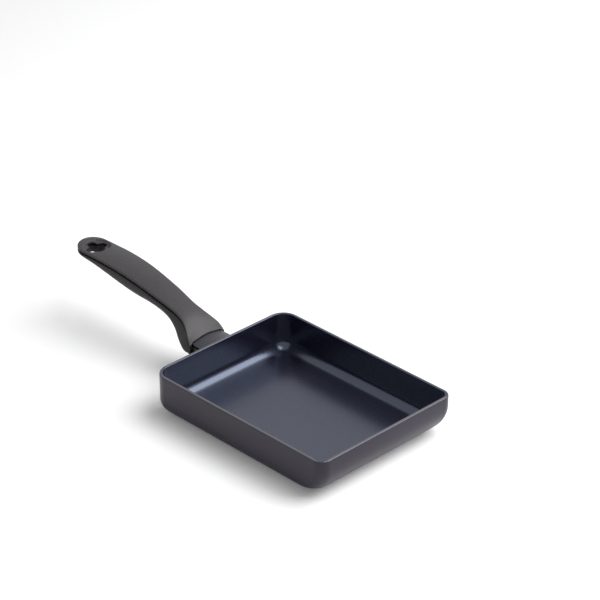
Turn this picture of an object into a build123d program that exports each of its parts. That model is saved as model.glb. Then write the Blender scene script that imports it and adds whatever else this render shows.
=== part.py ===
from build123d import *
import os
from math import atan2, cos, radians, sqrt, tan

# Rectangular frying pan, in millimetres.
# The origin is on the table below the middle of the rim. +Z is up, +X points away from the handle.

# Tray
pan_length = 196.0            # rim, from the handle side to the far side
pan_width = 150.0             # rim, across
pan_height = 38.0             # table to rim
pan_wall = 3.0
cooking_height = 4.5          # table to the cooking surface
rear_corner_radius = 15.0     # upright corners beside the handle
front_corner_radius = 10.0    # far corners at the rim
front_sweep_radius = 28.0     # the far wall curves in below the rim, for rolling
outer_sweep_radius = 14.0     # outer edge between the other walls and the bottom
inner_sweep_radius = 9.0      # edge of the cooking surface at the other walls
corner_growth_share = 0.4     # how much the far corners grow as the far wall curves in
sweep_shares = [0, 0.12, 0.28, 0.45, 0.62, 0.8, 1]   # sections up the swept edges, of a right angle
upper_shares = [0.35, 0.7, 1, 1.15]   # sections from there to the top of the far wall's curve
rim_outer_round = 1.2
rim_inner_round = 0.7

# Foot and the plate in it
foot_height = 0.8
foot_margin = 1.5             # from the end of the swept edge to the foot
foot_corner_radius = 12.0
plate_margin = 5.0            # foot round the plate
plate_corner_radius = 8.0
plate_thickness = 1.0
plate_hole_radius = 3.5
plate_columns = 7
plate_rows = 5
plate_gap = 0.1               # plate to foot, and hole to stud

# Neck: bracket arm with its cover
wall_gap = 0.1                # coat of lacquer between the wall and what is fixed to it
neck_width = 33.0
neck_reach = 18.6             # wall to the neck's end inside the hood
flange_thickness = 4.0
flange_bottom = 16.0
arm_bottom = 26.0
arm_top = 31.0
rib_thickness = 3.0
rib_reach = 13.5              # wall to the tip of a side rib
rib_rise = 1.5                # flange bottom to the rib's foot
core_inset = 2.5              # from the neck's side to the raised middle that carries the cover
core_height = 2.4
cover_side_height = 1.2       # upright side of the neck cover
neck_crown = 2.8              # arch of the neck cover
slot_height = 1.8             # dark slot between arm and cover
cover_gap = 0.2               # cover to core, and cover to wall

# Tongue inside the grip
tongue_width = 12.0
tongue_thickness = 6.0
tongue_start_height = 29.6    # middle of the tongue where the neck ends
tongue_rise = 16.7            # neck to the level end of the tongue
tongue_run = 23.4             # length of the sloping stretch, along the pan
tongue_level = 15.0           # length of the level stretch

# Studs that hold the bracket
stud_spacing = 14.0
stud_height = 21.0
stud_radius = 2.5
stud_head_radius = 4.0
stud_head_height = 2.0
stud_gap = 0.15

# Grip
hood_gap = 15.0               # wall to the hood's open end
grip_length = 157.5           # hood's open end to the tail
grip_width_share = 0.903      # of the neck's width, so that the hood takes the neck
grip_rise = 33.8              # hood's edge to the tail's edge
hood_edge_height = 33.0       # table to the hood's edge at its open end
grip_depth = 22.3             # deepest belly below the edge
grip_crown = 1.6              # arch of the top face
cover_edge = 1.4              # thickness of the top shell at its edge
shadow_gap = 1.6              # height of the groove below the top shell
shadow_inset = 1.5            # depth of that groove
seat_gap = 0.1                # top shell to the grip below
cover_edge_round = 0.5
tail_narrowing = 0.6          # half the grip's width to the radius of its tail
recess_depth = 4.0            # how far the hood goes over the neck
recess_gap = 0.3
slot_gap = 0.3                # grip to tongue
peg_radius = 2.0
peg_length = 4.0
peg_gap = 0.15
peg_rows = [8, 9, 11]         # rows below where the pegs stand

# Each row is one section of the grip, from the hood's open end to beyond the tail: place along the
# length, edge height in the rise, width, crown, belly depth, fullness of the belly and its flare.
grip_section_shares = [
    (0.000, 0.000, 1.329, 3.12, 0.493, 0.92, 1.04),
    (0.027, 0.183, 1.218, 1.38, 0.780, 0.92, 1.20),
    (0.057, 0.308, 1.040, 1.12, 0.960, 0.92, 1.45),
    (0.096, 0.429, 0.866, 1.00, 1.076, 0.90, 1.60),
    (0.134, 0.500, 0.785, 0.94, 1.072, 0.88, 1.50),
    (0.172, 0.556, 0.752, 0.88, 0.933, 0.82, 1.25),
    (0.229, 0.633, 0.795, 0.88, 0.725, 0.65, 1.05),
    (0.299, 0.719, 0.839, 0.94, 0.720, 0.58, 1.00),
    (0.395, 0.817, 0.886, 1.00, 0.800, 0.55, 1.00),
    (0.490, 0.905, 0.933, 1.00, 0.940, 0.55, 1.00),
    (0.592, 0.970, 0.960, 1.00, 0.955, 0.55, 1.00),
    (0.717, 1.009, 0.980, 1.00, 0.810, 0.55, 1.00),
    (0.828, 1.006, 0.950, 0.94, 0.620, 0.55, 1.00),
    (0.909, 1.000, 0.960, 0.80, 0.475, 0.57, 1.00),
    (1.013, 1.000, 0.960, 0.60, 0.175, 0.60, 1.00),
]

# Hanging hole with its dish
dish_margin = 2.3             # tail's edge to the dish
dish_depth = 2.4
dish_slope = 3.4              # how far the dish narrows to its floor
hole_from_tail = 18.0         # tail to the middle of the hole
lobe_radius = 3.2
lobe_spread = 5.0             # middle of the hole to the middle of a lobe
lobe_count = 4
boss_inset = 0.5              # dish's edge to the thickened cover round the hole
boss_height = 2.0
boss_gap = 0.15

# Screw from the belly into the tongue
screw_place = 51.0            # rear wall to the screw
screw_radius = 2.0
screw_head_radius = 3.5
screw_head_height = 2.2
screw_socket_radius = 1.25
screw_socket_depth = 1.4
screw_head_round = 0.5
screw_end_gap = 0.5           # screw tip below the tongue's top
thread_gap = 0.05
washer_gap = 0.15
flat_washer_radius = 3.6
flat_washer_thickness = 0.6
lock_washer_radius = 3.3
lock_washer_thickness = 0.8
lock_washer_split = 0.6
counterbore_radius = 3.9
web_thickness = 1.8           # grip between counterbore and tongue

cut_overrun = 5.0             # tools run past the faces that they cut

# Places worked out from the sizes above
rear_x = -pan_length / 2
front_x = pan_length / 2
seat_x = rear_x - wall_gap
flange_x = seat_x - flange_thickness
neck_end_x = rear_x - neck_reach
core_width = neck_width - 2 * core_inset
grip_width = neck_width * grip_width_share
tail_radius = grip_width / 2 - tail_narrowing
dish_radius = tail_radius - dish_margin
dish_floor_radius = dish_radius - dish_slope
boss_radius = dish_radius - boss_inset
hood_x = rear_x - hood_gap
tail_x = hood_x - grip_length
tail_center_x = tail_x + tail_radius
hole_x = tail_x + hole_from_tail
core_top = arm_top + core_height
cover_bottom = arm_top + slot_height
cover_side_top = cover_bottom + cover_side_height
cover_top = cover_side_top + neck_crown
tongue_bend_x = neck_end_x - tongue_run
tongue_tip_x = tongue_bend_x - tongue_level
tongue_level_height = tongue_start_height + tongue_rise
tongue_angle = atan2(tongue_rise, tongue_run)
screw_x = rear_x - screw_place
web_bottom = tongue_level_height - tongue_thickness / 2 - slot_gap - web_thickness
flat_washer_bottom = web_bottom - flat_washer_thickness
lock_washer_bottom = flat_washer_bottom - lock_washer_thickness
screw_bottom = lock_washer_bottom - screw_head_height
screw_tip = tongue_level_height + tongue_thickness / 2 - screw_end_gap
tail_edge_height = hood_edge_height + grip_rise
clear_height = tail_edge_height + grip_depth


def sweep_inset(radius, rise):
    """How far a swept edge lies inside its wall, at a rise above the bottom."""
    below = max(radius - rise, 0)
    return radius - sqrt(radius**2 - below**2)


def tray_outline(low, rise, wall, side_radius, front_radius):
    """Outline of the tray at a rise above its bottom, drawn in from the outer faces by a wall."""
    side = wall + sweep_inset(side_radius, rise)
    front = wall + sweep_inset(front_radius, rise)
    low_x = rear_x + side
    high_x = front_x - front
    with BuildSketch(Plane.XY.offset(low + rise)) as outline:
        with Locations(((low_x + high_x) / 2, 0)):
            Rectangle(high_x - low_x, pan_width - 2 * side)
        fillet(outline.vertices().group_by(Axis.X)[0], rear_corner_radius - side)
        fillet(
            outline.vertices().group_by(Axis.X)[-1],
            front_corner_radius - wall + corner_growth_share * (front - side),
        )
    return outline.sketch


def tray_sections(low, wall, side_radius, front_radius):
    """Outlines from the bottom up both swept edges, closest where they lie flattest."""
    rises = [side_radius * (1 - cos(radians(90) * share)) for share in sweep_shares]
    rises += [side_radius + (front_radius - side_radius) * share for share in upper_shares]
    return [tray_outline(low, rise, wall, side_radius, front_radius) for rise in rises]


# The foot lies inside the swept edge, and the plate inside the foot.
foot_low_x = rear_x + outer_sweep_radius + foot_margin
foot_high_x = front_x - front_sweep_radius - foot_margin
foot_x = (foot_low_x + foot_high_x) / 2
foot_length = foot_high_x - foot_low_x
foot_width = pan_width - 2 * (outer_sweep_radius + foot_margin)
plate_length = foot_length - 2 * plate_margin
plate_width = foot_width - 2 * plate_margin
column_pitch = plate_length / plate_columns
row_pitch = plate_width / plate_rows

# The space inside the tray is shaped first, and then cut from it.
with BuildPart() as tray_space:
    space_sections = tray_sections(cooking_height, pan_wall, inner_sweep_radius, front_sweep_radius - pan_wall)
    loft(space_sections)
    extrude(space_sections[-1], amount=pan_height - space_sections[-1].center().Z)

with BuildPart() as pan_body:
    body_sections = tray_sections(foot_height, 0, outer_sweep_radius, front_sweep_radius)
    loft(body_sections)
    extrude(body_sections[-1], amount=pan_height - body_sections[-1].center().Z)
    add(tray_space.part, mode=Mode.SUBTRACT)
    rim_face = pan_body.faces().group_by(Axis.Z)[-1][0]
    fillet(rim_face.inner_wires()[0].edges(), rim_inner_round)
    rim_face = pan_body.faces().group_by(Axis.Z)[-1][0]
    fillet(rim_face.outer_wire().edges(), rim_outer_round)
    with BuildSketch():
        with Locations((foot_x, 0)):
            RectangleRounded(foot_length, foot_width, foot_corner_radius)
            RectangleRounded(plate_length, plate_width, plate_corner_radius, mode=Mode.SUBTRACT)
    extrude(amount=foot_height + plate_thickness)
    with BuildSketch():
        with Locations((foot_x, 0)):
            RectangleRounded(plate_length, plate_width, plate_corner_radius)
    extrude(amount=plate_thickness, mode=Mode.SUBTRACT)
    with BuildSketch():
        with Locations((foot_x, 0)):
            with GridLocations(column_pitch, row_pitch, plate_columns, plate_rows):
                Circle(plate_hole_radius - plate_gap)
    extrude(amount=plate_thickness)
pan_body.part.label = "pan_body"

with BuildPart() as induction_plate:
    with BuildSketch():
        with Locations((foot_x, 0)):
            RectangleRounded(
                plate_length - 2 * plate_gap,
                plate_width - 2 * plate_gap,
                plate_corner_radius - plate_gap,
            )
            with GridLocations(column_pitch, row_pitch, plate_columns, plate_rows):
                Circle(plate_hole_radius, mode=Mode.SUBTRACT)
    extrude(amount=plate_thickness)
induction_plate.part.label = "induction_plate"


def tongue_outline(gap):
    """Side view of the bent tongue, grown by a gap on every face but its root."""
    half = tongue_thickness / 2 + gap
    half_drop = half / cos(tongue_angle)
    bend = half * tan(tongue_angle / 2)
    with BuildSketch(Plane.XZ) as outline:
        with BuildLine():
            Polyline(
                (neck_end_x, tongue_start_height + half_drop),
                (tongue_bend_x + bend, tongue_level_height + half),
                (tongue_tip_x - gap, tongue_level_height + half),
                (tongue_tip_x - gap, tongue_level_height - half),
                (tongue_bend_x - bend, tongue_level_height - half),
                (neck_end_x, tongue_start_height - half_drop),
                close=True,
            )
        make_face()
    return outline.sketch


with BuildPart() as handle_bracket:
    with BuildSketch(Plane.XZ) as bracket_side:
        with BuildLine():
            Polyline(
                (seat_x, flange_bottom),
                (seat_x, arm_top),
                (neck_end_x, arm_top),
                (neck_end_x, arm_bottom),
                (flange_x, arm_bottom),
                (flange_x, flange_bottom),
                close=True,
            )
        make_face()
    extrude(amount=neck_width / 2, both=True)
    with BuildSketch(Plane.XZ) as rib_side:
        with BuildLine():
            Polyline(
                (seat_x - flange_thickness / 2, flange_bottom + rib_rise),
                (flange_x, flange_bottom + rib_rise),
                (rear_x - rib_reach, arm_bottom),
                (rear_x - rib_reach, arm_bottom + rib_thickness),
                (seat_x - flange_thickness / 2, arm_bottom + rib_thickness),
                close=True,
            )
        make_face()
    extrude(amount=neck_width / 2, both=True)
    with BuildSketch(Plane.XZ) as rib_space:
        with Locations((flange_x, flange_bottom)):
            Rectangle(neck_reach, arm_bottom - flange_bottom, align=(Align.MAX, Align.MIN))
    extrude(amount=neck_width / 2 - rib_thickness, both=True, mode=Mode.SUBTRACT)
    with BuildSketch(Plane.XY.offset(arm_top)) as core:
        with Locations((seat_x, 0)):
            Rectangle(neck_reach - wall_gap, core_width, align=(Align.MAX, Align.CENTER))
    extrude(amount=core_height)
    extrude(tongue_outline(0), amount=tongue_width / 2, both=True)
    with BuildSketch(Plane.YZ.offset(seat_x)) as stud_holes:
        with Locations((0, stud_height)):
            with GridLocations(stud_spacing, 0, 2, 1):
                Circle(stud_radius + stud_gap)
    extrude(amount=-flange_thickness, mode=Mode.SUBTRACT)
    with BuildSketch(Plane.XY) as screw_bore:
        with Locations((screw_x, 0)):
            Circle(screw_radius + thread_gap)
    extrude(amount=clear_height, mode=Mode.SUBTRACT)
handle_bracket.part.label = "handle_bracket"

with BuildPart() as bracket_studs:
    with BuildSketch(Plane.YZ.offset(seat_x)) as stud_shanks:
        with Locations((0, stud_height)):
            with GridLocations(stud_spacing, 0, 2, 1):
                Circle(stud_radius)
    extrude(amount=-flange_thickness)
    with BuildSketch(Plane.YZ.offset(flange_x)) as stud_heads:
        with Locations((0, stud_height)):
            with GridLocations(stud_spacing, 0, 2, 1):
                Circle(stud_head_radius)
    extrude(amount=-stud_head_height)
    fillet(bracket_studs.edges().filter_by(GeomType.CIRCLE).group_by(Axis.X)[0], stud_head_height / 2)
bracket_studs.part.label = "bracket_studs"

with BuildPart() as neck_cover:
    with BuildSketch(Plane.YZ.offset(rear_x - cover_gap)) as cover_section:
        with BuildLine():
            Line((-neck_width / 2, cover_side_top), (-neck_width / 2, cover_bottom))
            Line((-neck_width / 2, cover_bottom), (-core_width / 2 - cover_gap, cover_bottom))
            Line((-core_width / 2 - cover_gap, cover_bottom), (-core_width / 2 - cover_gap, core_top))
            Line((-core_width / 2 - cover_gap, core_top), (core_width / 2 + cover_gap, core_top))
            Line((core_width / 2 + cover_gap, core_top), (core_width / 2 + cover_gap, cover_bottom))
            Line((core_width / 2 + cover_gap, cover_bottom), (neck_width / 2, cover_bottom))
            Line((neck_width / 2, cover_bottom), (neck_width / 2, cover_side_top))
            ThreePointArc((neck_width / 2, cover_side_top), (0, cover_top), (-neck_width / 2, cover_side_top))
        make_face()
    extrude(amount=-(neck_reach - cover_gap))
neck_cover.part.label = "neck_cover"


def grip_station(shares):
    """Plane, edge height, half width, crown and depth of one section."""
    place_share, rise_share, width_share, crown_share, depth_share = shares[:5]
    plane = Plane.YZ.offset(hood_x - place_share * grip_length)
    edge_height = hood_edge_height + rise_share * grip_rise
    return (
        plane,
        edge_height,
        width_share * grip_width / 2,
        crown_share * grip_crown,
        depth_share * grip_depth,
    )


def cover_outline(shares):
    """Section of the top shell: arched above, flat below."""
    plane, edge_height, half_width, crown, depth = grip_station(shares)
    low = edge_height - cover_edge
    with BuildSketch(plane) as outline:
        with BuildLine():
            ThreePointArc((half_width, edge_height), (0, edge_height + crown), (-half_width, edge_height))
            Line((-half_width, edge_height), (-half_width, low))
            Line((-half_width, low), (half_width, low))
            Line((half_width, low), (half_width, edge_height))
        make_face()
    return outline.sketch


def belly_outline(shares):
    """Section of the lower moulding, with the narrower step that carries the top shell."""
    plane, edge_height, half_width, crown, depth = grip_station(shares)
    seat = edge_height - cover_edge - seat_gap
    top = edge_height - cover_edge - shadow_gap
    low = edge_height - depth
    fullness_share, flare_share = shares[-2:]
    middle = top - (top - low) * fullness_share
    side = half_width * flare_share
    foot = side * fullness_share
    inner = half_width - shadow_inset
    with BuildSketch(plane) as outline:
        with BuildLine():
            Polyline(
                (half_width, top),
                (inner, top),
                (inner, seat),
                (-inner, seat),
                (-inner, top),
                (-half_width, top),
            )
            Bezier((-half_width, top), (-side, middle), (-foot, low), (0, low))
            Bezier((0, low), (foot, low), (side, middle), (half_width, top))
        make_face()
    return outline.sketch


def tail_outline():
    """Plan of the grip with its round tail, wider than the grip elsewhere."""
    with BuildSketch() as outline:
        with Locations((tail_center_x, 0)):
            Circle(tail_radius)
            Rectangle(grip_length, grip_width * 2, align=(Align.MIN, Align.CENTER))
    return outline.sketch


def neck_recess():
    """Space in the hood for the end of the neck."""
    side = neck_width / 2 + recess_gap
    low = arm_bottom - recess_gap
    high = cover_side_top + recess_gap
    with BuildSketch(Plane.YZ.offset(hood_x + cut_overrun)) as outline:
        with BuildLine():
            Polyline((side, high), (side, low), (-side, low), (-side, high))
            ThreePointArc((-side, high), (0, cover_top + recess_gap), (side, high))
        make_face()
    return outline.sketch


def hanging_hole():
    """Lobed hole through the tail."""
    with BuildSketch() as outline:
        with Locations((hole_x, 0)):
            Circle(lobe_spread)
            with PolarLocations(lobe_spread, lobe_count):
                Circle(lobe_radius)
    return outline.sketch


boss_low = tail_edge_height - cover_edge - boss_height
peg_stations = [grip_station(grip_section_shares[row])[:2] for row in peg_rows]

with BuildPart() as grip_cover:
    loft([cover_outline(shares) for shares in grip_section_shares])
    extrude(tail_outline(), amount=clear_height, mode=Mode.INTERSECT)
    cover_top_face = grip_cover.faces().sort_by(Axis.Z)[-1]
    fillet(cover_top_face.edges().filter_by(lambda edge: edge.length > hood_gap), cover_edge_round)
    with BuildSketch(Plane.XY.offset(boss_low)) as boss:
        with Locations((hole_x, 0)):
            Circle(boss_radius)
    extrude(amount=boss_height + cover_edge / 2)
    for plane, edge_height in peg_stations:
        with BuildSketch(Plane.XY.offset(edge_height - cover_edge - peg_length)) as peg:
            with Locations((plane.origin.X, 0)):
                Circle(peg_radius)
        extrude(amount=peg_length + cover_edge / 2)
    with BuildSketch(Plane.XZ) as dish:
        with BuildLine():
            Polyline(
                (hole_x, tail_edge_height - dish_depth),
                (hole_x + dish_floor_radius, tail_edge_height - dish_depth),
                (hole_x + dish_radius, tail_edge_height),
                (hole_x + dish_radius, tail_edge_height + grip_depth),
                (hole_x, tail_edge_height + grip_depth),
                close=True,
            )
        make_face()
    revolve(axis=Axis((hole_x, 0, 0), (0, 0, 1)), mode=Mode.SUBTRACT)
    extrude(hanging_hole(), amount=clear_height, mode=Mode.SUBTRACT)
    extrude(neck_recess(), amount=-(recess_depth + cut_overrun), mode=Mode.SUBTRACT)
grip_cover.part.label = "grip_cover"

with BuildPart() as grip_body:
    loft([belly_outline(shares) for shares in grip_section_shares])
    extrude(tail_outline(), amount=clear_height, mode=Mode.INTERSECT)
    with BuildSketch(Plane.XY.offset(tail_edge_height - cover_edge - shadow_gap)) as tail_groove:
        with Locations((tail_center_x, 0)):
            Circle(tail_radius + cut_overrun)
            Circle(tail_radius - shadow_inset, mode=Mode.SUBTRACT)
            Rectangle(grip_width, grip_width * 2, align=(Align.MIN, Align.CENTER), mode=Mode.SUBTRACT)
    extrude(amount=grip_depth, mode=Mode.SUBTRACT)
    with BuildSketch(Plane.XY.offset(boss_low - boss_gap)) as boss_pocket:
        with Locations((hole_x, 0)):
            Circle(boss_radius + boss_gap)
    extrude(amount=grip_depth, mode=Mode.SUBTRACT)
    for plane, edge_height in peg_stations:
        with BuildSketch(Plane.XY.offset(edge_height - cover_edge - peg_length - peg_gap)) as peg_hole:
            with Locations((plane.origin.X, 0)):
                Circle(peg_radius + peg_gap)
        extrude(amount=grip_depth, mode=Mode.SUBTRACT)
    extrude(hanging_hole(), amount=clear_height, mode=Mode.SUBTRACT)
    extrude(neck_recess(), amount=-(recess_depth + cut_overrun), mode=Mode.SUBTRACT)
    extrude(tongue_outline(slot_gap), amount=tongue_width / 2 + slot_gap, both=True, mode=Mode.SUBTRACT)
    with BuildSketch(Plane.XY.offset(web_bottom)) as counterbore:
        with Locations((screw_x, 0)):
            Circle(counterbore_radius)
    extrude(amount=-grip_depth, mode=Mode.SUBTRACT)
    with BuildSketch(Plane.XY.offset(web_bottom)) as screw_hole:
        with Locations((screw_x, 0)):
            Circle(screw_radius + washer_gap)
    extrude(amount=screw_tip - web_bottom, mode=Mode.SUBTRACT)
grip_body.part.label = "grip_body"

with BuildPart() as handle_screw:
    with BuildSketch(Plane.XY.offset(screw_bottom)) as screw_head:
        with Locations((screw_x, 0)):
            Circle(screw_head_radius)
    extrude(amount=screw_head_height)
    fillet(handle_screw.edges().group_by(Axis.Z)[0], screw_head_round)
    with BuildSketch(Plane.XY.offset(screw_bottom)) as screw_shank:
        with Locations((screw_x, 0)):
            Circle(screw_radius)
    extrude(amount=screw_tip - screw_bottom)
    chamfer(handle_screw.edges().group_by(Axis.Z)[-1], screw_head_round)
    with BuildSketch(Plane.XY.offset(screw_bottom)) as screw_socket:
        with Locations((screw_x, 0)):
            RegularPolygon(screw_socket_radius, 6)
    extrude(amount=screw_socket_depth, mode=Mode.SUBTRACT)
handle_screw.part.label = "handle_screw"

with BuildPart() as flat_washer:
    with BuildSketch(Plane.XY.offset(flat_washer_bottom)) as flat_ring:
        with Locations((screw_x, 0)):
            Circle(flat_washer_radius)
            Circle(screw_radius + washer_gap, mode=Mode.SUBTRACT)
    extrude(amount=flat_washer_thickness)
flat_washer.part.label = "flat_washer"

with BuildPart() as lock_washer:
    with BuildSketch(Plane.XY.offset(lock_washer_bottom)) as split_ring:
        with Locations((screw_x, 0)):
            Circle(lock_washer_radius)
            Circle(screw_radius + washer_gap, mode=Mode.SUBTRACT)
            Rectangle(lock_washer_radius, lock_washer_split, align=(Align.MIN, Align.CENTER), mode=Mode.SUBTRACT)
    extrude(amount=lock_washer_thickness)
lock_washer.part.label = "lock_washer"

pieces = [
    pan_body,
    induction_plate,
    handle_bracket,
    bracket_studs,
    neck_cover,
    grip_body,
    grip_cover,
    handle_screw,
    flat_washer,
    lock_washer,
]
os.makedirs("parts", exist_ok=True)
for piece in pieces:
    export_step(piece.part, "parts/" + piece.part.label + ".step")
    print(piece.part.label, len(piece.part.solids()), round(piece.part.volume))
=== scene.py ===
# %% [markdown]
# # A rectangular frying pan in Blender
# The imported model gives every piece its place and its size, in metres. It is loaded first and never
# moved. This lesson gives each piece the surface of the real one, and rebuilds the pieces that the
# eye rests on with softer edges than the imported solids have.

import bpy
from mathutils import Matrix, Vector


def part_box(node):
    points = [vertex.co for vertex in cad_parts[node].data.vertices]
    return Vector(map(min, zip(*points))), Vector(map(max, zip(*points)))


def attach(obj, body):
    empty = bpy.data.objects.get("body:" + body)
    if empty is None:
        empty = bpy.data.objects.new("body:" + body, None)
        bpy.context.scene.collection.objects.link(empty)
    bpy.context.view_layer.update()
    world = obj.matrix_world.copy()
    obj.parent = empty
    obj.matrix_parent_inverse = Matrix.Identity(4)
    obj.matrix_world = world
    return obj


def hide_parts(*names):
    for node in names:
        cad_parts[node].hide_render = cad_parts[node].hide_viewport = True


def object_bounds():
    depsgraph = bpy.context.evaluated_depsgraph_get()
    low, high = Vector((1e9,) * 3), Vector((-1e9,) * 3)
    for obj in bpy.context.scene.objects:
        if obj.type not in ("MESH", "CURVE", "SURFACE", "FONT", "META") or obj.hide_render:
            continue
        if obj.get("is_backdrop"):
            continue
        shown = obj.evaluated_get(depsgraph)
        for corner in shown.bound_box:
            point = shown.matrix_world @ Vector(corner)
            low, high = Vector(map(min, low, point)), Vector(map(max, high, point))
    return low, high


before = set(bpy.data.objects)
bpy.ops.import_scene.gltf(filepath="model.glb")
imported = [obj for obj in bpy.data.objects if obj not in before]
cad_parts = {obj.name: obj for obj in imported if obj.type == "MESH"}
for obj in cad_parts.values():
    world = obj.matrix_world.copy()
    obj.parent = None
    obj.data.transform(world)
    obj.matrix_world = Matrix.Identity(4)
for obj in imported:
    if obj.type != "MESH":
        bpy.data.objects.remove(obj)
solid_low, solid_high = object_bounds()
print("pieces:", sorted(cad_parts))

# %% The modules used below
import math

import bpy
from mathutils import Vector

# %% [markdown]
# ## Camera
# The camera stands above the far right corner, as seen from the handle, and has a long lens, so the
# pan's edges stay nearly parallel. A camera looks along its own -Z axis, so it is turned by the
# rotation that points this axis at a target.

# %% Set up the camera
camera_place = Vector((1.2688, -1.2486, 1.1131))
camera_target = Vector((-0.09844, 0.09487, 0.038))

bpy.ops.object.select_all(action="DESELECT")
bpy.ops.object.camera_add(location=camera_place)
camera = bpy.context.object
camera.name = "camera"
camera.data.sensor_width = 36
camera.data.lens = 154.2
camera.data.clip_end = 20
camera.rotation_euler = (camera_target - camera_place).to_track_quat("-Z", "Y").to_euler()
bpy.context.scene.camera = camera
print("camera looks down by", round(90 - math.degrees(camera.rotation_euler.x), 1), "degrees")

# %% [markdown]
# ## Floor
# The pan stands on a white table. The floor is one large white face. Where the camera sees it, a
# little of its own glow is added, so that it ends as white as the backdrop and still darkens in the
# pan's shadow.

# %% The white floor
floor_glow = 0.11

bpy.ops.object.select_all(action="DESELECT")
bpy.ops.mesh.primitive_plane_add(size=12, location=(0, 0, 0))
table_top = bpy.context.object
table_top.name = "table_top"
floor_finish = bpy.data.materials.new("white_table")
floor_finish.use_nodes = True
floor_nodes = floor_finish.node_tree.nodes
floor_links = floor_finish.node_tree.links
floor_nodes.clear()
floor_output = floor_nodes.new("ShaderNodeOutputMaterial")
floor_sum = floor_nodes.new("ShaderNodeAddShader")
floor_diffuse = floor_nodes.new("ShaderNodeBsdfDiffuse")
floor_diffuse.inputs["Color"].default_value = (0.95, 0.95, 0.95, 1)
floor_emission = floor_nodes.new("ShaderNodeEmission")
floor_strength = floor_nodes.new("ShaderNodeMath")
floor_strength.operation = "MULTIPLY"
floor_strength.inputs[1].default_value = floor_glow
floor_path = floor_nodes.new("ShaderNodeLightPath")
floor_links.new(floor_path.outputs["Is Camera Ray"], floor_strength.inputs[0])
floor_links.new(floor_strength.outputs[0], floor_emission.inputs["Strength"])
floor_links.new(floor_diffuse.outputs[0], floor_sum.inputs[0])
floor_links.new(floor_emission.outputs[0], floor_sum.inputs[1])
floor_links.new(floor_sum.outputs[0], floor_output.inputs["Surface"])
table_top.data.materials.append(floor_finish)
table_top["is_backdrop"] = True
print("floor:", tuple(round(side, 1) for side in table_top.dimensions))

# %% [markdown]
# ## Light
# The pan stands in soft studio light. One softbox hangs high to the right of the picture. It is as
# wide as it is far away, which gives the shadows their soft edges. The world adds a weak light from
# all sides. It is seen as plain white by the camera and in reflections: a Light Path node tells
# which kind of ray asks.

# %% The softbox
softbox_place = Vector((0.62, 0.72, 1.3))
softbox_target = Vector((-0.05, 0, 0))
softbox_side = 1.6

bpy.ops.object.select_all(action="DESELECT")
bpy.ops.object.light_add(type="AREA", location=softbox_place)
softbox = bpy.context.object
softbox.name = "right_softbox"
softbox.data.shape = "RECTANGLE"
softbox.data.size = softbox_side
softbox.data.size_y = softbox_side
softbox.data.energy = 38
softbox.rotation_euler = (softbox_target - softbox_place).to_track_quat("-Z", "Y").to_euler()
print("softbox is", round((softbox_target - softbox_place).length, 2), "m away")

# %% The backdrop
backdrop = bpy.data.worlds.new("backdrop")
bpy.context.scene.world = backdrop
backdrop.use_nodes = True
sky_nodes = backdrop.node_tree.nodes
sky_links = backdrop.node_tree.links
sky_nodes.clear()
sky_output = sky_nodes.new("ShaderNodeOutputWorld")
sky_mix = sky_nodes.new("ShaderNodeMixShader")
sky_soft = sky_nodes.new("ShaderNodeBackground")
sky_soft.inputs["Color"].default_value = (0.985, 0.99, 1.0, 1)
sky_soft.inputs["Strength"].default_value = 0.34
sky_white = sky_nodes.new("ShaderNodeBackground")
sky_white.inputs["Color"].default_value = (1, 1, 1, 1)
sky_white.inputs["Strength"].default_value = 1.0
sky_path = sky_nodes.new("ShaderNodeLightPath")
sky_seen = sky_nodes.new("ShaderNodeMath")
sky_seen.operation = "MAXIMUM"
sky_mirrored = sky_nodes.new("ShaderNodeMath")
sky_mirrored.operation = "MAXIMUM"
sky_links.new(sky_path.outputs["Is Glossy Ray"], sky_mirrored.inputs[0])
sky_links.new(sky_path.outputs["Is Transmission Ray"], sky_mirrored.inputs[1])
sky_links.new(sky_path.outputs["Is Camera Ray"], sky_seen.inputs[0])
sky_links.new(sky_mirrored.outputs[0], sky_seen.inputs[1])
sky_links.new(sky_seen.outputs[0], sky_mix.inputs["Fac"])
sky_links.new(sky_soft.outputs[0], sky_mix.inputs[1])
sky_links.new(sky_white.outputs[0], sky_mix.inputs[2])
sky_links.new(sky_mix.outputs[0], sky_output.inputs["Surface"])
bpy.context.scene.view_settings.view_transform = "Standard"
print("the world lights softly and is seen as white")

# %% [markdown]
# ## Tools of the bench
# Blender's operators act on whatever is selected, so each of them is told first what to hold. These
# small helpers start and name a new piece, hold chosen corners of a mesh in edit mode, take up one
# piece alone, and put a finished piece at the origin with its place in its mesh, as the packed
# pieces are.

# %% Helpers for modelling
import bmesh

mm = 0.001

def start_piece(name, add, **how):
    bpy.ops.object.select_all(action="DESELECT")
    add(**how)
    piece = bpy.context.object
    piece.name = name
    piece.data.name = name
    return piece

def hold(wanted):
    """Select the points of the edited mesh for which wanted(point) is true."""
    mesh = bmesh.from_edit_mesh(bpy.context.edit_object.data)
    mesh.verts.index_update()
    for part in (*mesh.faces, *mesh.edges, *mesh.verts):
        part.select = False
    for point in mesh.verts:
        point.select = wanted(point)
    mesh.select_flush_mode()
    bmesh.update_edit_mesh(bpy.context.edit_object.data)

def held():
    """Numbers of the points that are selected."""
    mesh = bmesh.from_edit_mesh(bpy.context.edit_object.data)
    mesh.verts.index_update()
    return [point.index for point in mesh.verts if point.select]

def take_up(piece):
    bpy.ops.object.select_all(action="DESELECT")
    bpy.context.view_layer.objects.active = piece
    piece.select_set(True)

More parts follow.
